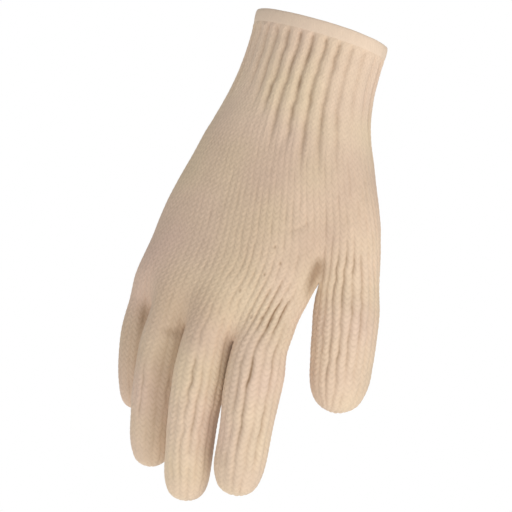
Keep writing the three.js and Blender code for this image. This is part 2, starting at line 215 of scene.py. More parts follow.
def oval_ring(section, columns, z):
    flat = ring_of(half_oval(section, columns, False), half_oval(section, columns, True))
    return np.column_stack([flat, np.full(len(flat), z)])


def palm_side(ring, column):
    return ring[(len(ring) - column) % len(ring)]


def scaled(row, width, depth, place):
    return dict(x=row["x"] * width, y=row["y"] * place, width=row["width"] * width,
                depth=row["depth"] * depth, arch=row.get("arch", 0.0) * depth)


def cage_swell(columns):
    """A subdivision surface draws in a tube of few columns. Its cage is made wider by this to match."""
    return 3.0 / (2.0 + math.cos(math.pi / columns))


print(f"the cage of a finger is {cage_swell(4):.2f} times as wide as the finger")

# %% [markdown]
# ## The line of a finger
#
# At rest the fingers curl towards the palm, more at the tip than at the root, and spread a little. Bones
# in an armature could bend straight tubes. Here a line is walked in short steps while its direction turns,
# and each ring of the digit is set square to it, which keeps the rings evenly spaced round the bend.

# %% Lines and rings of the digits
line_steps = 24


def turned(vector, axis, angle):
    return Matrix.Rotation(angle, 3, axis) @ vector


def line_stations(digit):
    """Points along a digit, each with the directions of its width and of the palm."""
    turn = math.radians(digit["turn"])
    side = Vector((math.cos(turn), math.sin(turn), 0.0))
    point = Vector((digit["x"] * palm_width, digit["y"] * palm_width,
                    cuff_end - digit["fork"] * palm_length))
    stations = []
    for i in range(line_steps + 1):
        share = i / line_steps
        along = turned(Vector((0, 0, -1)), Vector((0, 1, 0)), -math.radians(mix(*digit["splay"], share)))
        along = turned(along, side, math.radians(mix(*digit["curl"], share)))
        across = (side - along * side.dot(along)).normalized()
        stations.append((point.copy(), across, across.cross(along).normalized()))
        point += along * (digit["length"] / line_steps)
    return stations


def centre_line(digit):
    """Gives the middle, the width's direction and the palm's direction at any share of the length."""
    stations = line_stations(digit)

    def at(share):
        place = min(max(share, 0.0), 1.0) * line_steps
        i = min(int(place), line_steps - 1)
        start, end = stations[i], stations[i + 1]
        middle, across, normal = (a.lerp(b, place - i) for a, b in zip(start, end))
        return middle, across.normalized(), normal.normalized()

    return at


def digit_ring(digit, line, share, shrink=1.0):
    middle, across, normal = (np.array(v) for v in line(share))
    profile = section_at(digit_profile, share)
    girth = profile["girth"] * mix(1.0, digit["root"], profile["flare"]) * shrink
    girth *= cage_swell(digit["columns"])
    flat = dict(x=0.0, y=0.0, width=digit["width"] * girth, depth=digit["depth"] * girth)
    oval = ring_of(half_oval(flat, digit["columns"], False), half_oval(flat, digit["columns"], True))
    return middle + oval[:, :1] * across + oval[:, 1:] * normal


for digit in digit_table:
    print(f"{digit['name']}: the line ends {-centre_line(digit)(1.0)[0].z / MM:.0f} mm below the rim")

# %% [markdown]
# ## Rings, bands and places in the knit
#
# The cage is written as rings of points with a band of quads between each two. Every quad also gets its
# place in the knit, kept as a UV map: U counts wales round the glove and V counts courses, the rows of
# stitches, down from the rim. The relief and the yarn's texture both read that map, so they follow every
# bend of a finger.

# %% Rings and bands
cage_points, cage_quads, quad_pieces, quad_places = [], [], [], []


def add_ring(points, first_column, courses):
    start = len(cage_points)
    cage_points.extend(points)
    return dict(corners=list(range(start, start + len(points))), first=first_column,
                courses=list(np.broadcast_to(courses, len(points))))


def wale_of(ring, k):
    """The wale at the start and at the end of a ring's quad k."""
    half = len(ring["corners"]) // 2
    if k < half:
        start = wales_per_column * (ring["first"] + k)
    else:
        start = wales_round - wales_per_column * (ring["first"] + 2 * half - k)
    return start, start + wales_per_column


def add_quad(corners, places, piece):
    cage_quads.append(corners)
    quad_places.append(places)
    quad_pieces.append(piece)


def add_band(upper, lower, piece):
    count = len(upper["corners"])
    for k in range(count):
        n = (k + 1) % count
        start, end = wale_of(upper, k)
        add_quad(
            [upper["corners"][k], lower["corners"][k], lower["corners"][n], upper["corners"][n]],
            [(start, upper["courses"][k]), (start, lower["courses"][k]),
             (end, lower["courses"][n]), (end, upper["courses"][n])], piece)


def ring_part(ring, start, end):
    """The columns from one fork to the next, out of a ring whose fork points serve back and palm alike."""
    count = len(ring["corners"])
    ks = list(range(start, end + 1)) + [count - column for column in range(end - 1, start, -1)]
    return dict(corners=[ring["corners"][k] for k in ks], first=start,
                courses=[ring["courses"][k] for k in ks])


# %% [markdown]
# ## Closed tips
#
# A fingertip is knitted narrower and then grafted shut. A fan of triangles round one point would pinch
# when it is smoothed. So the last ring is closed by quads that meet on one short line, as the knitter's
# graft does.

# %% Close a digit
tip_overhang = 0.3


def tip_corner(ring, middle, courses, kind, column):
    """A corner of the tip, on its closing line or on the ring, and the course that it lies on."""
    if kind == "line":
        return middle[column], courses
    count = len(ring["corners"])
    k = column if kind == "back" else (count - column) % count
    return ring["corners"][k], ring["courses"][k]


def add_tip(ring, line_points, courses, piece):
    half = len(ring["corners"]) // 2
    middle = {}
    for column, point in line_points.items():
        middle[column] = len(cage_points)
        cage_points.append(point)

    def quad(side, *spots):
        corners, places = [], []
        for kind, column in spots:
            corner, course_here = tip_corner(ring, middle, courses, kind, column)
            from_start = wales_per_column * (ring["first"] + column)
            corners.append(corner)
            places.append((from_start if side == "back" else wales_round - from_start, course_here))
        add_quad(corners, places, piece)

    last = half - 2
    quad("back", ("back", 0), ("line", 2), ("back", 2), ("back", 1))
    quad("palm", ("palm", 0), ("palm", 1), ("palm", 2), ("line", 2))
    quad("back", ("back", half), ("back", half - 1), ("back", last), ("line", last))
    quad("palm", ("palm", half), ("line", last), ("palm", last), ("palm", half - 1))
    for j in range(2, last):
        quad("back", ("line", j), ("line", j + 1), ("back", j + 1), ("back", j))
        quad("palm", ("line", j), ("palm", j), ("palm", j + 1), ("line", j + 1))


def add_digit(digit, root, root_piece):
    line = centre_line(digit)
    length = digit["length"]
    radius = 0.5 * digit["width"] / length
    stub = stub_length / length
    rows = max(1, round((1.0 - radius - stub) * length / row_step))
    shares = [(mix(stub, 1.0 - radius, i / rows), 1.0) for i in range(rows + 1)]
    shares.append((1.0 - tip["back"] * radius, tip["girth"]))
    root_courses = float(np.mean(root["courses"]))
    upper = root
    for i, (share, shrink) in enumerate(shares):
        courses = root_courses + share * length / course_height
        lower = add_ring(digit_ring(digit, line, share, shrink), root["first"], courses)
        add_band(upper, lower, root_piece if i == 0 else digit["name"])
        upper = lower
    middle, across, _ = (np.array(v) for v in line(1.0))
    reach = tip["closing"] * digit["width"]
    columns = digit["columns"]
    places = {j: middle + across * (j / columns - 0.5) * reach for j in range(2, columns - 1)}
    last_course = root_courses + (length + tip_overhang * digit["width"]) / course_height
    add_tip(upper, places, last_course, digit["name"])


# %% [markdown]
# ## Forks
#
# Where the palm ends, the knitter parts its stitches among the four fingers, and further up some go to the
# thumb. The ring at a fork is therefore made of the roots of the digits side by side, and back and palm
# share one point at each fork. The rings before it change little by little from a plain oval into it.

# %% Rings at the forks
def row_of_roots(roots, pick):
    """One side of the fingers' roots, in a row. Two neighbours meet halfway between their own points."""
    points = [roots[0][0]]
    for i, digit in enumerate(fingers):
        for j in range(1, digit["columns"] + 1):
            own = pick(roots[i], j)
            shared = j == digit["columns"] and i + 1 < len(fingers)
            points.append(mix(own, roots[i + 1][0], 0.5) if shared else own)
    return np.array(points)


def root_ring(digit):
    return digit_ring(digit, centre_line(digit), 0.0, 1.0 / cage_swell(digit["columns"]))


def back_side(ring, column):
    return ring[column]


def fork_of_fingers():
    roots = [root_ring(digit) for digit in fingers]
    return ring_of(row_of_roots(roots, back_side), row_of_roots(roots, palm_side))


def palm_ring(share, fork_ring):
    section = scaled(section_at(palm_sections, share), palm_width, palm_depth, palm_depth)
    below_thumb = max((share - thumb_fork_share) / (1.0 - thumb_fork_share), 0.0)
    ring = mix(oval_ring(section, palm_columns, 0.0), fork_ring, below_thumb ** 3)
    ring[:, 2] = mix(cuff_end - thumb_fork_share * palm_length, fork_ring[:, 2], below_thumb)
    return ring


def fork_of_thumb(palm):
    """The ring on which the thumb leaves: the palm's ring and the thumb's root side by side."""
    root = root_ring(thumb)
    crotch = mix(palm[palm_columns], root[0], 0.5)

    def side(pick):
        points = [pick(palm, j) for j in range(palm_columns)] + [crotch]
        return np.array(points + [pick(root, j) for j in range(1, thumb["columns"] + 1)])

    return ring_of(side(back_side), side(palm_side))


finger_fork_ring = fork_of_fingers()
thumb_fork_ring = fork_of_thumb(palm_ring(thumb_fork_share, finger_fork_ring))
print(f"the fingers fork at {finger_fork_ring[:, 2].mean() / MM:.0f} mm, the thumb at "
      f"{thumb_fork_ring[:, 2].mean() / MM:.0f} mm")


# %% Build the cage
def courses_at(points):
    return -points[:, 2] / course_height


def build_cuff():
    """The cuff starts under the hem, and its rim dips towards the thumb."""
    cuff_rows = round(cuff_length / row_step)
    upper = None
    for i in range(cuff_rows):
        share = i / cuff_rows
        section = scaled(section_at(cuff_sections, share), wrist_width, wrist_depth, wrist_width)
        ring = oval_ring(section, hand_columns, -hem_height - share * cuff_length)
        ring[:, 2] -= math.tan(rim_tilt) * ring[:, 0] * (1.0 - share)
        lower = add_ring(ring, 0, (hem_height + share * cuff_length) / course_height)
        if upper:
            add_band(upper, lower, "ribbed_cuff")
        upper = lower
    return upper


def build_heel(upper):
    """From the cuff to the thumb's fork, an oval turns into the forked ring."""
    heel_length = thumb_fork_share * palm_length
    heel_rows = round(heel_length / row_step)
    for i in range(heel_rows):
        share = i / heel_rows
        section = scaled(section_at(heel_sections, share), palm_width, palm_depth, palm_depth)
        ring = mix(oval_ring(section, hand_columns, 0.0), thumb_fork_ring, share ** 2)
        ring[:, 2] = cuff_end - share * heel_length
        lower = add_ring(ring, 0, courses_at(ring))
        add_band(upper, lower, "ribbed_cuff" if i == 0 else "lower_palm")
        upper = lower
    fork = add_ring(thumb_fork_ring, 0, courses_at(thumb_fork_ring))
    fork["corners"][2 * hand_columns - palm_columns] = fork["corners"][palm_columns]
    add_band(upper, fork, "lower_palm")
    return fork


def build_palm(upper):
    """From the thumb's fork to the forks of the fingers"""
    stub_share = thumb_fork_share + stub_length / palm_length
    palm_rows = round((1.0 - stub_share) * palm_length / row_step)
    for i in range(palm_rows):
        ring = palm_ring(mix(stub_share, 1.0, i / palm_rows), finger_fork_ring)
        lower = add_ring(ring, 0, courses_at(ring))
        add_band(upper, lower, "lower_palm" if i == 0 else "upper_palm")
        upper = lower
    fork = add_ring(finger_fork_ring, 0, courses_at(finger_fork_ring))
    for start in forks[1:-1]:
        fork["corners"][2 * palm_columns - start] = fork["corners"][start]
    add_band(upper, fork, "upper_palm")
    return fork


thumb_fork = build_heel(build_cuff())
add_digit(thumb, ring_part(thumb_fork, palm_columns, hand_columns), "lower_palm")
finger_fork = build_palm(ring_part(thumb_fork, 0, palm_columns))
for digit, start in zip(fingers, forks):
    add_digit(digit, ring_part(finger_fork, int(start), int(start) + digit["columns"]), "upper_palm")
knit_pieces = ["ribbed_cuff", "lower_palm", "upper_palm", "thumb", "index_finger", "middle_finger",
               "ring_finger", "little_finger"]
print(f"cage: {len(cage_points)} points, {len(cage_quads)} quads")


# %% [markdown]
# ## From cage to smooth form
#
# The Subdivision Surface modifier is applied twice, to two copies of the cage. The fine copy carries the
# stitches on the outside. The coarse copy becomes the plain inside of the glove, which is hardly seen and
# needs few faces. Both lie on the same smooth surface, so the fine edge and the coarse edge of a piece can
# be joined later.

# %% Subdivide the cage
fine_level, coarse_level = 4, 2


def add_object(name, data):
    thing = bpy.data.objects.new(name, data)
    bpy.context.collection.objects.link(thing)
    return thing


def pick_only(thing):
    bpy.ops.object.select_all(action="DESELECT")
    thing.select_set(True)
    bpy.context.view_layer.objects.active = thing


def smooth_form(name, level):
    mesh = bpy.data.meshes.new(name)
    mesh.from_pydata([tuple(map(float, p)) for p in cage_points], [], cage_quads)
    mesh.polygons.foreach_set("material_index", [knit_pieces.index(piece) for piece in quad_pieces])
    mesh.uv_layers.new(name="knit").uv.foreach_set("vector", np.array(quad_places, float).reshape(-1))
    form = add_object(name, mesh)
    pick_only(form)
    modifier = form.modifiers.new("Smooth", "SUBSURF")
    modifier.levels = modifier.render_levels = level
    modifier.uv_smooth = "NONE"
    bpy.ops.object.modifier_apply(modifier=modifier.name)
    return form


fine_form = smooth_form("fine_form", fine_level)
coarse_form = smooth_form("coarse_form", coarse_level)
print(f"{len(fine_form.data.polygons)} fine and {len(coarse_form.data.polygons)} coarse quads")


# %% Read the forms as arrays
def read_form(form):
    """The mesh of a form as arrays. Every face is a quad."""
    mesh = form.data
    points = np.empty(len(mesh.vertices) * 3)
    mesh.vertices.foreach_get("co", points)
    normals = np.empty(len(mesh.vertices) * 3, np.float32)
    mesh.vertex_normals.foreach_get("vector", normals)
    quads = np.empty(len(mesh.loops), np.int32)
    mesh.loops.foreach_get("vertex_index", quads)
    pieces = np.empty(len(mesh.polygons), np.int32)
    mesh.polygons.foreach_get("material_index", pieces)
    places = np.empty(len(mesh.loops) * 2, np.float32)
    mesh.uv_layers["knit"].uv.foreach_get("vector", places)
    return dict(points=points.reshape(-1, 3), normals=normals.reshape(-1, 3).astype(float),
                quads=quads.reshape(-1, 4), pieces=pieces, places=places.reshape(-1, 4, 2).astype(float))


def knit_places(form):
    """The wale and the course of each point, as numbers with fractions."""
    places = np.empty((len(form["points"]), 2))
    places[form["quads"].reshape(-1)] = form["places"].reshape(-1, 2)
    return places[:, 0], places[:, 1]


fine, coarse = read_form(fine_form), read_form(coarse_form)
points, normals = fine["points"], fine["normals"]
in_mm = points / MM
wale, course = knit_places(fine)
height = points[:, 2]
print(f"{len(points)} points on {wale.max():.0f} wales and {course.max():.0f} courses")

# %% [markdown]
# ## Noise that repeats
#
# No knit is quite even: yarn drifts, grooves break off, cloth swells. Blender's noise textures could give
# that, but they only reach a mesh through modifiers. This small noise works on arrays. It gives the same
# result on every run, because it mixes the bits of whole numbers and draws nothing at random.

# %% Noise and ramps
low_bits = 0xFFFFFFFF
seed_factor = 0x9E3779B1
first_factor, second_factor = np.uint64(0x85EBCA6B), np.uint64(0xC2B2AE35)
first_shift, second_shift = np.uint64(13), np.uint64(16)


def hashed(cells, seed):
    """A number from 0 to 1 for each row of whole numbers."""
    bits = np.full(len(cells), seed * seed_factor & low_bits, np.uint64)
    for column in cells.T:
        bits = (bits ^ (column.astype(np.int64) & low_bits).astype(np.uint64)) * first_factor
        bits &= np.uint64(low_bits)
        bits = (bits ^ (bits >> first_shift)) * second_factor
        bits &= np.uint64(low_bits)
        bits ^= bits >> second_shift
    return bits.astype(float) / low_bits


def noise(places, size, seed):
    """Smooth noise from -1 to 1 with lumps of about that size, in one, two or three dimensions."""
    grid = np.atleast_2d(places.T).T / size
    cell = np.floor(grid).astype(np.int64)
    part = grid - cell
    part = part * part * (3.0 - 2.0 * part)
    total = np.zeros(len(grid))
    for corner in range(2 ** grid.shape[1]):
        sides = np.array([(corner >> axis) & 1 for axis in range(grid.shape[1])])
        weight = np.prod(np.where(sides == 1, part, 1.0 - part), axis=1)
        total += weight * hashed(cell + sides, seed)
    return 2.0 * total - 1.0


def ramp(values, start, end):
    """A smooth rise from 0 at start to 1 at end."""
    share = np.clip((values - start) / (end - start), 0.0, 1.0)
    return share * share * (3.0 - 2.0 * share)


def line_places(number, courses, spread=9.0):
    """Places for a noise that changes along a groove or rib and differs from one to the next."""
    return np.stack([number * spread, courses], axis=1)


def valley(distance, half_width):
    """1 in the middle of a line, falling off smoothly beside it."""
    return np.exp(-(distance / half_width) ** 2)


# %% [markdown]
# ## Where the knit shows
#
# Cloth that is strained over a thumb or a knuckle shows its wales strongly, and slack cloth hardly at all.
# One even relief would look printed. Each row below is a place on the glove, its middle and reach in
# millimetres, and how strongly the wales show there.

# %% Places where the wales show
usual_show = 0.36
knit_show = table(
    "name middle reach show",
    ("side of the little finger", (-38, -18, -112), (26, 14, 36), 0.12),
    ("back of the wrist", (0, -26, -74), (40, 12, 17), 0.1),
    ("middle of the back", (10, -23, -112), (20, 12, 22), 0.42),
    ("knuckle of the index finger", (19, -18, -143), (15, 12, 20), 0.85),
    ("back of the index finger", (26, -12, -192), (18, 17, 38), 0.9),
    ("back of the middle finger", (-4, -15, -200), (13, 14, 36), 0.75),
    ("back of the thumb", (50, 6, -138), (20, 26, 42), 0.9),
)
show = np.full(len(points), usual_show)
for row in knit_show:
    away = (in_mm - np.array(row["middle"])) / np.array(row["reach"])
    show = mix(show, row["show"], np.exp(-np.sum(away * away, axis=1)))
# in_hand is 0 in the cuff and 1 in all that lies below it.
in_hand = 1.0 - ramp(height, cuff_end - 8 * MM, cuff_end + 12 * MM)
print(f"the wales show from {show.min():.2f} to {show.max():.2f}")

# %% [markdown]
# ## Stitches
#
# Up close, plain knit is a column of V shapes: each stitch shows two legs of yarn that lean apart. A bump
# map would show none of this at the outline, so each point of the fine form is moved along its normal by a
# height that is worked out from its place in the knit. The wales drift a little, as yarn never runs true.

# %% Relief of the stitches
wale_shift = 0.36
lean = 0.8
cuff_wale_width, hand_wale_width = 2.3, 2.75
stitch_heights = dict(cuff=0.2 * MM, slack=0.18 * MM, strained=0.4 * MM)
strand_roundness = 2.5
leg_start, leg_softness = 0.3, 0.7
strand_gap, thinnest, thickest = 0.25, 0.55, 1.45
shared_drift, own_drift = 0.17, 0.12


def drift_at(places, wales, courses):
    near = line_places(np.round(wales - wale_shift), courses, spread=5.0)
    shared = shared_drift * noise(places, size=12.0, seed=1)
    return shared + own_drift * noise(near, size=1.7, seed=2) - wale_shift


wale_at = wale + drift_at(in_mm, wale, course)
wale_width = mix(cuff_wale_width, hand_wale_width, in_hand)
groove_number = np.round(wale_at)
from_groove = np.abs(wale_at - groove_number)
from_middle = 1.0 - 2.0 * from_groove
strand_phase = course + lean * from_middle
strand = 1.0 - np.abs(2.0 * (strand_phase - np.floor(strand_phase)) - 1.0) ** strand_roundness
leg = np.sin(math.pi * np.clip(mix(leg_start, 1.0, from_middle), 0.0, 1.0)) ** leg_softness
lumps = 0.5 + 0.5 * noise(np.stack([wale_at * 1.4, course * 0.8], axis=1), size=1.0, seed=12)
in_hand_height = mix(stitch_heights["slack"], stitch_heights["strained"], show)
stitch_height = mix(stitch_heights["cuff"], in_hand_height, in_hand)
stitch = stitch_height * (leg * mix(strand_gap, 1.0, strand) - 0.5) * mix(thinnest, thickest, lumps)
print(f"stitches up to {stitch.max() / MM:.2f} mm high and {course_height / MM:.2f} mm long")

# %% [markdown]
# ## Grooves between the wales
#
# A groove runs between two wales, and the strained wales stand up beside it like cords. Stitches differ in
# tension, so a groove breaks off and starts again. Straight modelled channels would look like corduroy, so
# the depth is cut into dashes by noise that is different for each groove.

# %% Grooves and cords
cord_height = 0.44 * MM
slack_groove, strained_groove = 0.03 * MM, 0.5 * MM
groove_half_width = 0.58
strain_weight = 0.9

tension = noise(line_places(groove_number, course), size=2.4, seed=3) + strain_weight * ramp(show, 0.3, 0.9)
dash = ramp(tension, -0.1, 0.6)
cord = cord_height * show ** 1.5 * in_hand * (4.0 * from_groove * (1.0 - from_groove) - 0.6)
groove_line = valley(from_groove * wale_width, groove_half_width)
groove = mix(slack_groove, strained_groove, show) * in_hand * dash * groove_line
print(f"grooves up to {groove.max() / MM:.2f} mm deep")

# %% [markdown]
# ## Opened grooves and pinholes
#
# Where the cloth is strained most, along the index finger and the thumb, single grooves open, and here and
# there a stitch leaves a pinhole. Painted shade, laid on later, makes both look almost black. These are few
# and have their places, so a table holds them: the wale of the groove, the courses that it runs over, and its
# depth in millimetres.

# %% Opened grooves
opened_half_width = 0.55
opened_fade = 3.0
opened_share, least_share = 0.55, 0.45
open_grooves = table(
    "wale start end depth",
    (26, 48, 57, 0.35),
    (27, 46, 58, 0.4),
    (28, 49, 69, 0.9),
    (28, 66, 78, 0.45),
    (29, 49, 58, 0.7),
    (30, 56, 80, 0.34),
    (27, 60, 72, 0.3),
    (34, 39, 63, 0.36),
    (35, 38, 63, 0.42),
    (36, 38, 60, 0.4),
    (37, 38, 56, 0.28),
    (20, 62, 76, 0.34),
    (21, 61, 80, 0.3),
    (17, 66, 84, 0.3),
    (12, 66, 78, 0.3),
)
opening = np.zeros(len(points))
for row in open_grooves:
    start, end = row["start"], row["end"]
    along = ramp(course, start, start + opened_fade) * (1.0 - ramp(course, end - opened_fade, end))
    opening += np.where(groove_number == row["wale"], row["depth"] * along, 0.0)
opened_noise = noise(line_places(groove_number, course), size=2.6, seed=13)
opening *= opened_share * mix(least_share, 1.0, ramp(opened_noise, -0.5, 0.2))
opened = opening * valley(from_groove * wale_width, opened_half_width) * MM
print(f"{len(open_grooves)} opened grooves, up to {opened.max() / MM:.2f} mm deep")

# %% Pinholes
pinhole_wale_width = 2.9
pinhole_half_width, pinhole_half_length = 0.42, 1.0
# The wale and the course of each
pinholes = [(25.2, 41.7), (26.2, 44.2), (24.8, 46.8), (22.8, 50.6), (27.3, 54.3), (28.6, 54.0), (26.0, 54.6)]

hole = np.zeros(len(points))
for hole_wale, hole_course in pinholes:
    across = (wale - hole_wale) * pinhole_wale_width
    along = (course - hole_course) * course_height / MM
    hole = np.maximum(hole, valley(across, pinhole_half_width) * valley(along, pinhole_half_length))
print(f"{len(pinholes)} pinholes")

# %% [markdown]
# ## Ribs of the cuff
#
# In the cuff an elastic thread draws every third groove deep, and the cloth between stands out as a round
# rib. Ribs of one length would look moulded. On a worn cuff some are cut off soon and some run on into the
# back, so a table holds those that stand out, with their ends in millimetres, and noise gives the rest.

# %% The ribs and how long they are
wales_per_rib = 3
ribs_round = wales_round // wales_per_rib
rib_shift = 1.25
rib_pitch = 6.8
usual_ends, usual_strengths = (46.0, 68.0), (0.5, 0.9)
rib_table = table(
    "rib end strength",
    (3, 36, 0.45),
    (4, 42, 0.7),
    (5, 46, 0.85),
    (6, 52, 0.95),
    (7, 64, 1.1),
    (8, 64, 1.1),
    (9, 72, 0.95),
    (10, 72, 0.9),
    (11, 68, 0.6),
    (12, 50, 0.5),
    (13, 46, 0.4),
)
rib_number = np.arange(ribs_round).reshape(-1, 1)
rib_ends = mix(*usual_ends, hashed(rib_number, 7))
rib_strengths = mix(*usual_strengths, hashed(rib_number, 8))
for row in rib_table:
    rib_ends[row["rib"]] = row["end"]
    rib_strengths[row["rib"]] = row["strength"]
print(f"{ribs_round} ribs, which end {rib_ends.min():.0f} to {rib_ends.max():.0f} mm below the rim")

# %% Relief of the ribs
rib_half_width, rib_core_half_width = 1.4, 0.62
rib_fade_above, rib_fade_below = 16 * MM, 6 * MM
core_depth = 0.4
shared_rib_drift, own_rib_drift = 0.18, 0.2
rib_unevenness, least_core = 0.18, 0.45

rib_guess = np.round((wale - rib_shift) / wales_per_rib)
rib_drift = shared_rib_drift * noise(in_mm, size=14.0, seed=5)
rib_drift += own_rib_drift * noise(line_places(rib_guess, course, spread=5.0), size=1.5, seed=6)
rib_at = (wale - rib_shift + rib_drift) / wales_per_rib
nearest_rib = np.round(rib_at).astype(np.int64)
from_rib = np.abs(rib_at - nearest_rib)
nearest_rib %= ribs_round
below_rim = -math.tan(rim_tilt) * points[:, 0] * ramp(height, cuff_end, 0.0) - height
rib_end = rib_ends[nearest_rib] * MM
rib_reach = 1.0 - ramp(below_rim, rib_end - rib_fade_above, rib_end + rib_fade_below)
rib_start = ramp(below_rim, hem_height - 0.4 * MM, hem_height + 2.4 * MM)
rib_depth = rib_strengths[nearest_rib] * rib_reach * rib_start
rib_depth *= 1.0 + rib_unevenness * (noise(line_places(nearest_rib, course), size=2.4, seed=9) - 1.0)
rib_line = valley(from_rib * rib_pitch, rib_half_width)
rib_round = 1.0 - (1.0 - 2.0 * from_rib) ** 2
# rib_core deepens the middle of the strongest grooves, and later it also lays painted shade along them.
rib_core = valley(from_rib * rib_pitch, rib_core_half_width) * rib_depth ** 2
core_noise = noise(line_places(nearest_rib, course), size=3.0, seed=16)
rib_core *= mix(least_core, 1.0, ramp(core_noise, -0.3, 0.4))
ribs = (rib_depth * (rib_line - rib_round + 0.6) + core_depth * rib_core) * MM
print(f"ribs from {ribs.min() / MM:.2f} to {ribs.max() / MM:.2f} mm deep")

# %% [markdown]
# ## Creases and painted shade
#
# Cloth folds where a thumb or finger leaves the palm and sinks between two fingers. A cloth simulation would
# move the whole glove for a few small folds. Instead each crease is an arc through three points in
# millimetres, with its depth and half width. dark is how much painted shade it gets, which is most in the
# pockets where two fingers meet, and a row with no depth is only painted shade.

# %% Table of creases and painted shade
creases = table(
    "name path depth width dark",
    ("above the thumb's fork", [(19, -21, -102), (26.8, -18.3, -100.3), (32, -16.5, -93)], 0.5, 1.4, 0.16),
    ("swell above the fork", [(24, -17.5, -106), (29.5, -15.5, -105), (33, -13.5, -101)], -0.6, 4.5, 0.0),
    ("fork of the thumb", [(35.5, -5, -111), (34.8, -4, -118), (33.5, -3, -127)], 0.8, 3.6, 1.0),
    ("fork of index and middle", [(3.8, -15.5, -159.5), (4.3, -13, -165), (4.9, -11.5, -174)], 0.1, 3.0, 0.1),
    ("right of the middle finger", [(5, -9, -192), (5, -4, -206), (3, 5, -224)], 0.9, 7.0, 0.0),
    ("left of the index finger", [(8, -10, -192), (10.5, -10.7, -205), (16, -10, -222)], 0.9, 7.0, 0.0),
    ("web between index and middle", [(5, -9, -160), (5.5, -8, -164), (6, -7, -169)], -0.6, 4.0, 0.15),
    ("fork of middle and ring", [(-28.5, -19, -163), (-26, -17.5, -163), (-23, -14.5, -162)], 0.4, 3.4, 0.5),
    ("between middle and ring", [(-27, -18, -164), (-26.8, -16, -187), (-25.8, -5.5, -224)], 0.5, 5.0, 0.42),
    ("fork of ring and little", [(-51, -9.5, -154), (-49.5, -9, -159), (-49, -7, -170)], 0.5, 3.6, 0.6),
    # These four rows have no depth and only lay painted shade, over the knuckles, the back, above the thumb
    # and on the little finger.
    ("wear over the knuckles", [(-40, -18, -148), (-20, -25, -150), (2, -26, -146)], 0.0, 15.0, 0.32),
    ("wear over the back", [(-6, -25, -136), (8, -26, -112), (7, -25, -88)], 0.0, 17.0, 0.2),
    ("wear above the thumb", [(25, -16, -122), (38, -14, -103), (48, -11, -82)], 0.0, 13.0, 0.2),
    ("wear on the little finger", [(-52, -9, -160), (-53, -8, -176), (-52, -4, -196)], 0.0, 13.0, 0.25),
    ("across the middle finger", [(-2, -23, -168), (-5, -22, -182), (-8, -19, -198)], 0.3, 1.0, 0.15),
    ("root of the middle finger", [(-17, -20, -165), (-10, -24, -162), (-3, -24, -165)], 0.2, 1.6, 0.05),
    ("side of the wrist", [(-30, -17, -84), (-20, -24, -88), (-8, -26, -86)], 0.2, 2.2, 0.05),
)
arc_steps = 24


def crease_value(places, row):
    """How much each place is in a crease, from 0 to 1. It fades out towards both ends of the arc."""
    start, middle, end = (np.array(p, float) for p in row["path"])
    bow = 2.0 * middle - 0.5 * (start + end)
    value = np.zeros(len(places))
    for share in np.linspace(0.0, 1.0, arc_steps + 1):
        spot = (1.0 - share) ** 2 * start + 2.0 * share * (1.0 - share) * bow + share ** 2 * end
        fade = math.sin(math.pi * (0.12 + 0.76 * share))
        near = np.exp(-np.sum((places - spot) ** 2, axis=1) / row["width"] ** 2)
        value = np.maximum(value, fade * near)
    return value


# The dark of the rows adds up to painted shade, in the forks, between the fingers and over the back of the
# glove.
crease, painted_shade = np.zeros(len(points)), np.zeros(len(points))
for row in creases:
    value = crease_value(in_mm, row)
    crease += row["depth"] * value * MM
    painted_shade = np.maximum(painted_shade, row["dark"] * value)
print(f"{len(creases)} creases and places of painted shade, up to {crease.max() / MM:.1f} mm deep")

# %% [markdown]
# ## Move the points
#
# All heights are summed, with broad swells that make the cloth look filled. Under the hem the knit is
# drawn smooth and out to the band. No point may sink through the wall, so the deepest places are held back.
# The same terms give the hollow value: painted shade, by which the yarn is browner in its grooves, pinholes
# and pockets.

# %% Sum the relief
deepest = 1.7 * MM
under_hem_rise = 0.45 * MM
pinhole_depth = 0.6 * MM
broad_swell, small_swell = 0.4 * MM, 0.18 * MM

swells = broad_swell * noise(in_mm, size=24.0, seed=10) + small_swell * noise(in_mm, size=9.0, seed=11)
under_hem = ramp(below_rim, hem_height, hem_height + 2.0 * MM)
hollows = groove + opened + pinhole_depth * hole
relief = (stitch + cord - hollows + swells) * under_hem - crease - ribs
relief += under_hem_rise * (1.0 - ramp(below_rim, hem_height, hem_height + 6.0 * MM))
relief = np.where(relief < 0.0, -deepest * np.tanh(-relief / deepest), relief)
knit_points = points + normals * relief[:, None]
print(f"relief from {relief.min() / MM:.2f} to {relief.max() / MM:.2f} mm")

# %% Painted shade in the hollows
groove_share, opened_groove_share, pinhole_share = 0.35, 0.85, 0.5
rib_share, rib_core_share = 0.32, 0.5
strand_shade_share, slack_shade_share = 0.12, 0.27

# The hollow value is painted shade. It darkens the grooves, the opened grooves, the pinholes, the pockets and
# the rib grooves.
hollow_shade = (groove_share * groove + opened_groove_share * opened) * under_hem / MM
hollow_shade += pinhole_share * hole + painted_shade
hollow_shade += rib_share * rib_depth * rib_line + rib_core_share * rib_core
# Painted shade also lies between the strands, and over the slack cloth of the hand, which is darker for it.
hollow_shade += strand_shade_share * (1.0 - strand) * (0.3 + 0.7 * show) + slack_shade_share * (1.0 - show) * in_hand
hollow_shade = np.clip(hollow_shade, 0.0, 1.0)
print(f"hollow value {hollow_shade.mean():.2f} on average")


# %% [markdown]
# ## Cut the form into its pieces
#
# Each solid of the frame is replaced by a piece of its own: four fingers, the thumb, two parts of the palm
# and the cuff. A piece has the fine knit outside, the coarse form moved inwards as its inside, and a strip
# that joins the two round every open edge. A Solidify modifier would double the fine mesh and copy each
# stitch to the inside. The normals are those of the whole glove, so that no line shows between pieces.

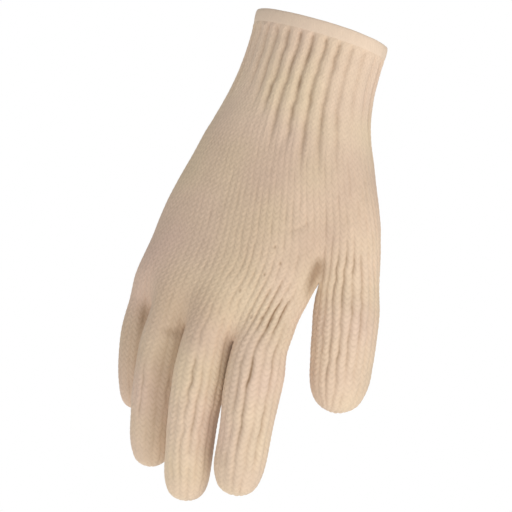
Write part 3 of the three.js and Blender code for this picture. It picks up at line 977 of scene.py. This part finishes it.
# %% Normals of the whole glove
def smooth_normals(places, quads):
    diagonal_a = places[quads[:, 2]] - places[quads[:, 0]]
    diagonal_b = places[quads[:, 3]] - places[quads[:, 1]]
    faces = np.cross(diagonal_a, diagonal_b)
    total = np.zeros_like(places)
    for corner in range(4):
        np.add.at(total, quads[:, corner], faces)
    length = np.linalg.norm(total, axis=1)
    # A few points at the forks are in no face
    length[length == 0.0] = 1.0
    return total / length[:, None]


knit_normals = smooth_normals(knit_points, fine["quads"])
on_faces = np.unique(fine["quads"])
upright = np.sum(knit_normals[on_faces] * normals[on_faces], axis=1)
turn = np.degrees(np.arccos(np.clip(upright, -1.0, 1.0))).mean()
# Only in the deepest line of the thumb's fork is a point folded over, too small and too deep to be seen.
print(f"the relief turns the surface by {turn:.0f} degrees on average, and folds over "
      f"{(upright < 0.0).sum()} of {len(on_faces)} points")


# %% Open edges
def open_edges(quads):
    """The directed edges of these quads that no other of them shares."""
    starts = quads.reshape(-1)
    ends = np.roll(quads, -1, axis=1).reshape(-1)
    low, high = np.minimum(starts, ends), np.maximum(starts, ends)
    edges = low.astype(np.int64) << 32 | high
    _, inverse, counts = np.unique(edges, return_inverse=True, return_counts=True)
    single = counts[inverse] == 1
    return starts[single], ends[single]


def match_edges(fine_quads, coarse_quads):
    """For each open edge of the coarse faces, the run of fine points beside it."""
    starts, ends = open_edges(fine_quads)
    following = dict(zip(starts.tolist(), ends.tolist()))
    tree = KDTree(len(starts))
    for index in starts.tolist():
        tree.insert(fine["points"][index], index)
    tree.balance()
    runs = []
    for a, b in zip(*open_edges(coarse_quads)):
        first, last = (tree.find(coarse["points"][end])[1] for end in (a, b))
        run = [first]
        while run[-1] != last:
            run.append(following[run[-1]])
        runs.append((run, int(a), int(b)))
    return runs


def rim_points():
    """The points of the cuff's open edge, in their order round the rim."""
    starts, ends = open_edges(fine["quads"])
    following = dict(zip(starts.tolist(), ends.tolist()))
    order = [int(starts[0])]
    while following[order[-1]] != order[0]:
        order.append(following[order[-1]])
    return np.array(order)


rim = rim_points()
print(f"{len(rim)} points round the rim of the cuff")


# %% The outside and the inside of a piece
def drifted_places(form):
    """The knit map of a form's faces, with the same drift of the wales as in the relief."""
    places = form["places"].copy()
    places[:, :, 0] += drift_at(form["points"] / MM, *knit_places(form))[form["quads"]]
    return places


fine_places, coarse_places = drifted_places(fine), drifted_places(coarse)


def part_of(form, places, name):
    """The quads of one piece, their places in the knit, the points used, and the quads counted in those."""
    chosen = form["pieces"] == knit_pieces.index(name)
    used, faces = np.unique(form["quads"][chosen], return_inverse=True)
    return form["quads"][chosen], places[chosen], used, faces.reshape(-1, 4)


def edge_strips(outer_quads, outer_used, inner_quads, inner_used):
    """Faces from the outside to the inside, one for each open edge of the coarse form."""
    outer_new = {int(old): new for new, old in enumerate(outer_used)}
    inner_new = {int(old): new + len(outer_used) for new, old in enumerate(inner_used)}
    return [[outer_new[index] for index in reversed(run)] + [inner_new[a], inner_new[b]]
            for run, a, b in match_edges(outer_quads, inner_quads)]


def set_values(mesh, name, values):
    mesh.attributes.new(name, "FLOAT", "POINT").data.foreach_set("value", np.asarray(values, np.float32))


# %% Make the pieces
# The inside of the glove gets an even painted shade.
inside_shade = 0.3
no_values = np.zeros(len(points))


def knit_mesh(name):
    outer_quads, outer_places, outer_used, outer_faces = part_of(fine, fine_places, name)
    inner_quads, inner_places, inner_used, inner_faces = part_of(coarse, coarse_places, name)
    inner_faces = inner_faces[:, ::-1] + len(outer_used)
    strips = edge_strips(outer_quads, outer_used, inner_quads, inner_used)
    inside = coarse["points"][inner_used] - coarse["normals"][inner_used] * knit_wall
    mesh = bpy.data.meshes.new(name)
    mesh.from_pydata(np.vstack([knit_points[outer_used], inside]).tolist(), [],
                     outer_faces.tolist() + inner_faces.tolist() + strips)

    flat = [outer_places.reshape(-1), inner_places[:, ::-1].reshape(-1)]
    flat += [np.tile(outer_places[0, 0], len(strip)) for strip in strips]
    mesh.uv_layers.new(name="knit").uv.foreach_set("vector", np.concatenate(flat).astype(np.float32))
    for value_name, outside, value_inside in (
            ("hollow_shade", hollow_shade, inside_shade), ("inside", no_values, 1.0), ("open_groove", opening, 0.0)):
        inner_values = np.full(len(inner_used), value_inside)
        set_values(mesh, value_name, np.concatenate([outside[outer_used], inner_values]))
    mesh.shade_smooth()
    mesh.normals_split_custom_set_from_vertices(
        np.vstack([knit_normals[outer_used], -coarse["normals"][inner_used]]).tolist())
    return mesh


def knit_piece(name):
    piece = add_object(name + "_knit", knit_mesh(name))
    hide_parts(name)
    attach(piece, "root")
    print(f"{piece.name}: {sum(len(face.vertices) - 2 for face in piece.data.polygons)} triangles")
    return piece


pieces = {name: knit_piece(name) for name in knit_pieces}
for form in (fine_form, coarse_form):
    bpy.data.objects.remove(form)

# %% [markdown]
# ## The hem
#
# The edge of the cuff is turned over and overcast: thread wraps round it, stitch after stitch, and draws
# it into a smooth rounded band. A torus could stand for it, but would leave a step. So the band starts on
# the very points where the ribbed cuff ends. A section of a few corners is rounded by cutting its corners,
# and swept round the rim. The wrapping thread is a fine slanting relief on it.

# %% Section of the hem
hem_threads = 140
hem_thickness = 3.2 * MM
hem_thread_height = 0.12 * MM
hem_thread_slant = 2.2
hem_sway = 0.3 * MM
hem_slack = 0.03
hem_courses = 0.2
# How far out from the cuff's surface and how far above its edge, in millimetres
hem_corners = [(-0.5, -0.3), (0.02, -0.1), (0.16, 1.3), (0.24, 3.2), (0.2, 5.2), (-0.15, 6.45), (-1.1, 6.6),
               (-2.2, 6.4), (-2.8, 5.2), (-2.9, 3.0), (-2.8, 0.8), (-2.0, -0.3)]


def cut_corners(corners, rounds):
    """Rounds a closed line of corners, by cutting each at a quarter of its sides."""
    line = np.array(corners, float)
    for _ in range(rounds):
        following = np.roll(line, -1, axis=0)
        line = np.stack([mix(line, following, 0.25), mix(line, following, 0.75)], axis=1).reshape(-1, 2)
    return line


hem_section = cut_corners(hem_corners, rounds=2) * MM
print(f"the hem's section has {len(hem_section)} points")


# %% Sweep the hem round the rim
def rim_directions():
    """The directions out of the glove and up along the cuff, at each point of the rim."""
    outward = normals[rim] * np.array([1.0, 1.0, 0.0])
    outward /= np.linalg.norm(outward, axis=1)[:, None]
    edge = knit_points[rim]
    upward = np.cross(outward, np.roll(edge, -1, axis=0) - np.roll(edge, 1, axis=0))
    upward *= (np.sign(upward[:, 2]) / np.linalg.norm(upward, axis=1))[:, None]
    return outward, upward


def hem_lines():
    """One line of points round the rim for each point of the section."""
    edge, turn = knit_points[rim], wale[rim] / wales_round
    outward, upward = rim_directions()
    sway = hem_sway * noise(edge / MM, size=16.0, seed=14)
    slack = hem_slack * noise(edge / MM, size=9.0, seed=15)
    lines = []
    for out, up in hem_section:
        share = max(up, 0.0) / hem_height
        outside = float(np.clip(1.0 + out / hem_thickness, 0.0, 1.0))
        thread = np.abs(np.sin(math.pi * (hem_threads * turn + hem_thread_slant * share)))
        lift = hem_thread_height * thread * outside * math.sin(math.pi * min(share, 1.0)) ** 0.5
        across = outward * (out + lift + sway * share)[:, None]
        lines.append(edge + across + upward * (up * (1.0 + slack))[:, None])
    return lines


def hem_faces(line_count):
    """The quads between neighbouring lines, each with its place in the knit."""
    count = len(rim)
    here = np.arange(count)
    there = (here + 1) % count
    start, end = here * wales_round / count, (here + 1) * wales_round / count
    quads, places = [], []
    for i in range(line_count):
        n = (i + 1) % line_count
        line, next_line = i * count, n * count
        quads.append(np.stack([line + here, line + there, next_line + there, next_line + here], axis=1))
        upper, lower = (np.full(count, number * hem_courses) for number in (i, i + 1))
        places.append(np.stack([start, upper, end, upper, end, lower, start, lower], axis=1))
    return np.vstack(quads), np.vstack(places)


def make_hem():
    lines = hem_lines()
    quads, places = hem_faces(len(lines))
    mesh = bpy.data.meshes.new("cuff_hem")
    mesh.from_pydata(np.vstack(lines).tolist(), [], quads.tolist())
    mesh.uv_layers.new(name="knit").uv.foreach_set("vector", places.reshape(-1).astype(np.float32))
    for value_name in ("hollow_shade", "inside", "open_groove"):
        set_values(mesh, value_name, np.zeros(len(mesh.vertices)))
    mesh.shade_smooth()
    mesh.validate()
    piece = add_object("cuff_hem_band", mesh)
    pick_only(piece)
    bpy.ops.object.mode_set(mode="EDIT")
    bpy.ops.mesh.select_all(action="SELECT")
    bpy.ops.mesh.normals_make_consistent(inside=False)
    bpy.ops.object.mode_set(mode="OBJECT")
    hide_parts("cuff_hem")
    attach(piece, "root")
    return piece


hem = make_hem()
print(f"{hem.name}: {2 * len(hem.data.polygons)} triangles")


# %% [markdown]
# ## Cotton yarn
#
# Unbleached cotton is a warm cream. Its yarn is soft and fuzzy, so it has almost no gloss, only a faint sheen
# at grazing angles. Between the stitches its colour is browned with painted shade. A picture of knitwear
# would repeat and stretch, so a node group makes the colour and a fine bump from the knit map and the painted
# shade of the hollow value, and each material places it with its own values.

# %% Node helpers
def set_inputs(tree, node, inputs):
    """Each input gets a value, or a link from another node."""
    for key, value in dict(inputs).items():
        if isinstance(value, bpy.types.NodeSocket):
            tree.links.new(value, node.inputs[key])
        else:
            node.inputs[key].default_value = value


def add_node(tree, kind, inputs=(), **settings):
    node = tree.nodes.new(kind)
    for name, value in settings.items():
        setattr(node, name, value)
    set_inputs(tree, node, inputs)
    return node


def maths(tree, operation, *values, clamp=False):
    node = add_node(tree, "ShaderNodeMath", dict(enumerate(values)), operation=operation, use_clamp=clamp)
    return node.outputs[0]


def times(tree, first, second, clamp=False):
    return maths(tree, "MULTIPLY", first, second, clamp=clamp)


def plus(tree, first, *others, clamp=False):
    """A sum of sockets and numbers. Only the last addition is clamped."""
    for other in others[:-1]:
        first = maths(tree, "ADD", first, other)
    return maths(tree, "ADD", first, others[-1], clamp=clamp)


def minus(tree, first, second):
    return maths(tree, "SUBTRACT", first, second)


def cloudy(tree, vector, scale, detail, weight):
    """Noise about 0, so that it makes a colour or a height neither brighter nor higher on the whole."""
    inputs = {"Vector": vector, "Scale": scale, "Detail": detail}
    cloud = add_node(tree, "ShaderNodeTexNoise", inputs).outputs[0]
    return times(tree, minus(tree, cloud, 0.5), weight)


# %% Strands and their twist
# Strands lean out from the middle of each wale. Inside the glove the purl side shows, in wavy rows.
full_turn = 2.0 * math.pi
purl_wave = 0.22
bump_roundness = 2.4
plies_across, plies_along = 7.0, 1.6


def yarn_strands(tree, place, inside):
    """How near each place is to a groove, to the middle of a strand, and to the top of a ply."""
    separate = add_node(tree, "ShaderNodeSeparateXYZ", {0: place}).outputs
    from_groove = maths(tree, "PINGPONG", separate[0], 0.5)
    leaning = times(tree, minus(tree, 1.0, times(tree, from_groove, 2.0)), lean)
    wave = times(tree, maths(tree, "COSINE", times(tree, separate[0], full_turn)), purl_wave)
    path = add_node(tree, "ShaderNodeMix", {0: inside, 2: leaning, 3: wave}).outputs[0]
    phase = maths(tree, "FRACT", plus(tree, separate[1], path))
    edge = maths(tree, "ABSOLUTE", minus(tree, times(tree, phase, 2.0), 1.0))
    strand = minus(tree, 1.0, maths(tree, "POWER", edge, bump_roundness))
    plies = plus(tree, times(tree, from_groove, plies_across), times(tree, phase, plies_along))
    twist = maths(tree, "SINE", times(tree, plies, full_turn))
    return from_groove, strand, twist


# %% Colour of the yarn
# Scale, detail and weight of the blotches across the cloth, of the streaks along the wales, of the
# differences from stitch to stitch, of the flecks and of the rosy patches
blotches, streaks, stitch_tones = (38.0, 2.0, 0.9), (1.3, 2.0, 0.7), (1.1, 1.0, 0.5)
flecks, rosy_patches = (900.0, 1.0, 0.35), (27.0, 1.0, 2.1)
streak_stretch = (1.0, 0.16, 1.0)
usual_blush = 0.4


def yarn_colour(tree, given, place, body):
    along = add_node(tree, "ShaderNodeMapping", {"Vector": place, "Scale": streak_stretch}).outputs[0]
    spread = plus(tree, cloudy(tree, body, *blotches), cloudy(tree, along, *streaks),
                  cloudy(tree, place, *stitch_tones), cloudy(tree, body, *flecks))
    value = plus(tree, 1.0, times(tree, spread, given["Variation"]))
    blush = plus(tree, cloudy(tree, body, *rosy_patches), usual_blush, clamp=True)
    tinted = add_node(tree, "ShaderNodeMix", {0: blush, 6: given["Yarn"], 7: given["Blush"]},
                      data_type="RGBA").outputs[2]
    return add_node(tree, "ShaderNodeHueSaturation", {"Value": value, "Color": tinted}).outputs[0]


# %% Colour of the painted shade
# The painted shade shows in hollow places, a little between the strands, and as a dark line along an opened
# groove.
gap_weight, line_weight = 0.08, 1.4
line_start, line_full = 0.15, 0.04


def shade_depth(tree, given, shade_here, opened_here, from_groove, strand):
    gap = times(tree, minus(tree, 1.0, strand), gap_weight)
    line = add_node(tree, "ShaderNodeMapRange",
                    {"Value": from_groove, "From Min": line_start, "From Max": line_full}).outputs[0]
    line = times(tree, times(tree, line, opened_here), line_weight)
    return times(tree, plus(tree, shade_here, gap, line), given["Shade strength"], clamp=True)


# %% The yarn group
# The bump repeats the stitches of the relief more sharply, with their plies and a fuzz of fibres.
fuzz = (1500.0, 3.0, 1.0)
colour_inputs = ("Yarn", "Blush", "Shade colour")
value_inputs = ("Shade strength", "Variation", "Stitches", "Twist")


def yarn_group():
    tree = bpy.data.node_groups.new("cotton_yarn", "ShaderNodeTree")
    for name in colour_inputs + value_inputs:
        kind = "NodeSocketColor" if name in colour_inputs else "NodeSocketFloat"
        tree.interface.new_socket(name, in_out="INPUT", socket_type=kind)
    tree.interface.new_socket("Colour", in_out="OUTPUT", socket_type="NodeSocketColor")
    tree.interface.new_socket("Height", in_out="OUTPUT", socket_type="NodeSocketFloat")
    given = tree.nodes.new("NodeGroupInput").outputs
    place = add_node(tree, "ShaderNodeUVMap", uv_map="knit").outputs[0]
    body = add_node(tree, "ShaderNodeTexCoord").outputs["Object"]
    shade_here, inside, opened_here = (
        add_node(tree, "ShaderNodeAttribute", attribute_name=name).outputs["Fac"]
        for name in ("hollow_shade", "inside", "open_groove"))

    from_groove, strand, twist = yarn_strands(tree, place, inside)
    depth = shade_depth(tree, given, shade_here, opened_here, from_groove, strand)
    tinted = yarn_colour(tree, given, place, body)
    colour = add_node(tree, "ShaderNodeMix", {0: depth, 6: tinted, 7: given["Shade colour"]},
                      data_type="RGBA").outputs[2]
    raised = plus(tree, times(tree, strand, given["Stitches"]), times(tree, twist, given["Twist"]),
                  cloudy(tree, body, *fuzz))
    result = tree.nodes.new("NodeGroupOutput").inputs
    tree.links.new(colour, result["Colour"])
    tree.links.new(raised, result["Height"])
    return tree


yarn_tree = yarn_group()
print(f"yarn group: {len(yarn_tree.nodes)} nodes")

# %% [markdown]
# ## Three finishes of one yarn
#
# Palm, fingers and cuff are the same cream yarn, and only the cuff's is drawn tighter, with less of each
# stitch to see. The hem's overcast thread is finer and a little paler. The three share the group, so a
# change to the yarn reaches all of them.

# %% Materials
yarn_roughness = 0.92
yarn_specular = 0.18
sheen_roughness = 0.55
sheen_tint = (1.0, 0.93, 0.85, 1.0)
bump_strength, bump_distance = 0.6, 0.2 * MM
# The third colour of each yarn is its painted shade, a deep brown.
cream, rosy_cream, cream_shade = (0.745, 0.597, 0.428), (0.735, 0.548, 0.445), (0.34, 0.225, 0.14)
pale_cream, rosy_pale, pale_shade = (0.75, 0.60, 0.46), (0.74, 0.585, 0.46), (0.42, 0.29, 0.19)
# The values are the strength of the painted shade, variation, stitches and twist.
finishes = table(
    "name colours values sheen",
    ("unbleached_cotton", (cream, rosy_cream, cream_shade), (0.85, 0.22, 0.45, 0.14), 0.18),
    ("ribbed_cotton", (cream, rosy_cream, cream_shade), (0.9, 0.18, 0.35, 0.12), 0.18),
    ("overcast_thread", (pale_cream, rosy_pale, pale_shade), (0.6, 0.1, 0.1, 0.06), 0.2),
)


def new_material(name):
    material = bpy.data.materials.new(name)
    material.use_nodes = True
    return material, material.node_tree, material.node_tree.nodes["Principled BSDF"]


def yarn_material(name, colours, values, sheen):
    material, tree, shader = new_material(name)
    given = dict(zip(colour_inputs, [(*colour, 1.0) for colour in colours]))
    given.update(zip(value_inputs, values))
    group = add_node(tree, "ShaderNodeGroup", given, node_tree=yarn_tree)
    bump = add_node(tree, "ShaderNodeBump", {"Height": group.outputs["Height"], "Strength": bump_strength,
                                             "Distance": bump_distance})
    set_inputs(tree, shader, {
        "Base Color": group.outputs["Colour"], "Normal": bump.outputs[0], "Roughness": yarn_roughness,
        "Specular IOR Level": yarn_specular, "Sheen Weight": sheen, "Sheen Roughness": sheen_roughness,
        "Sheen Tint": sheen_tint})
    return material


cotton, rib_cotton, thread = (yarn_material(**row) for row in finishes)
for name, piece in pieces.items():
    piece.data.materials.append(rib_cotton if name == "ribbed_cuff" else cotton)
hem.data.materials.append(thread)
print(f"materials: {cotton.name}, {rib_cotton.name}, {thread.name}")

# %% [markdown]
# ## A floor far below
#
# The glove hangs in the air against plain white. A floor close under it would catch a shadow, so a wide disk
# lies far below, where it hides nothing. It glows a little and so stays pale.

# %% Floor
floor_radius = 2.0
floor_height = -0.62
floor_white, plain_white = (0.9, 0.9, 0.9, 1.0), (1.0, 1.0, 1.0, 1.0)
floor_glow = 0.6


def make_floor():
    bpy.ops.object.select_all(action="DESELECT")
    bpy.ops.mesh.primitive_circle_add(vertices=96, radius=floor_radius, fill_type="NGON",
                                      location=(0.0, 0.0, floor_height))
    floor = bpy.context.object
    floor.name = "floor"
    material, tree, shader = new_material("pale_floor")
    set_inputs(tree, shader, {"Base Color": floor_white, "Roughness": 1.0, "Emission Color": plain_white,
                              "Emission Strength": floor_glow})
    floor.data.materials.append(material)
    floor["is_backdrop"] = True


make_floor()
print(f"floor {-floor_height / MM:.0f} mm below the rim")

# %% [markdown]
# ## Camera
#
# The camera looks at the back of the glove from the thumb's side and a little from below. A wide lens close
# by would swell the fingertips, so a long lens is used. The camera is rolled, so the glove leans.

# %% Camera
camera_azimuth = math.radians(30.0)
camera_elevation = math.radians(-3.5)
camera_roll = math.radians(15.5)
camera_distance = 0.9
camera_lens = 130.0
camera_sensor = 36.0
camera_target = Vector((-1.28, -0.66, -116.18)) * MM


def view_axes(azimuth, elevation):
    """The directions right, up and back of something that looks at the glove from there."""
    right = Vector((math.cos(azimuth), math.sin(azimuth), 0.0))
    back = Vector((math.sin(azimuth) * math.cos(elevation), -math.cos(azimuth) * math.cos(elevation),
                   math.sin(elevation)))
    return right, back.cross(right), back


def aim(thing, right, up, back, distance):
    turn = Matrix((right, up, back)).transposed().to_4x4()
    thing.matrix_world = Matrix.Translation(camera_target + back * distance) @ turn


def make_camera():
    right, up, back = view_axes(camera_azimuth, camera_elevation)
    rolled_right = right * math.cos(camera_roll) + up * math.sin(camera_roll)
    rolled_up = up * math.cos(camera_roll) - right * math.sin(camera_roll)
    data = bpy.data.cameras.new("camera")
    data.lens = camera_lens
    data.sensor_width = camera_sensor
    data.clip_end = 50.0
    camera = add_object("camera", data)
    aim(camera, rolled_right, rolled_up, back, camera_distance)
    bpy.context.scene.camera = camera


make_camera()
print(f"camera {camera_distance} m away, rolled by {math.degrees(camera_roll):.1f} degrees")

# %% [markdown]
# ## Soft light
#
# Relief as low as a stitch shows only in light from the side, and cotton looks its softest in light from a
# large disk. One disk is high on the thumb's side. A second, near the camera, reaches into the pockets
# between the fingers. A white world does the rest, and costs less to render than more lamps.

# %% Lights
# Angles in degrees, distance and size in metres
lights = table(
    "name azimuth elevation distance size watts colour",
    ("key", 74.0, 18.0, 1.1, 0.7, 4.8, (1.0, 0.98, 0.95)),
    ("fill", 24.0, -6.0, 1.6, 0.6, 4.3, (1.0, 0.97, 0.955)),
)
ambient = 0.395


def area_light(name, azimuth, elevation, distance, size, watts, colour):
    data = bpy.data.lights.new(name, "AREA")
    data.shape = "DISK"
    data.size = size
    data.energy = watts
    data.color = colour
    aim(add_object(name, data), *view_axes(math.radians(azimuth), math.radians(elevation)), distance)


def make_world():
    """The camera sees plain white, and the glove is lit by a weaker white from all round."""
    world = bpy.data.worlds.new("studio")
    world.use_nodes = True
    tree, background = world.node_tree, world.node_tree.nodes["Background"]
    seen = add_node(tree, "ShaderNodeLightPath").outputs["Is Camera Ray"]
    strength = plus(tree, times(tree, seen, 1.0 - ambient), ambient)
    set_inputs(tree, background, {"Color": plain_white, "Strength": strength})
    bpy.context.scene.world = world


for row in lights:
    area_light(**row)
make_world()
view_settings = bpy.context.scene.view_settings
view_settings.view_transform = "Standard"
view_settings.look = "None"
print(f"{len(lights)} lights and {ambient} of the world's white")

# %% [markdown]
# ## Compare the sizes
#
# The dressed glove has to stay close to the frame's box, because its solids are what it collides with.

# %% Boxes
seen_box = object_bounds()
for label, (low, high) in (("frame", cad_box), ("glove", seen_box)):
    print(f"{label}: " + " by ".join(f"{(b - a) / MM:.1f}" for a, b in zip(low, high)) + " mm")
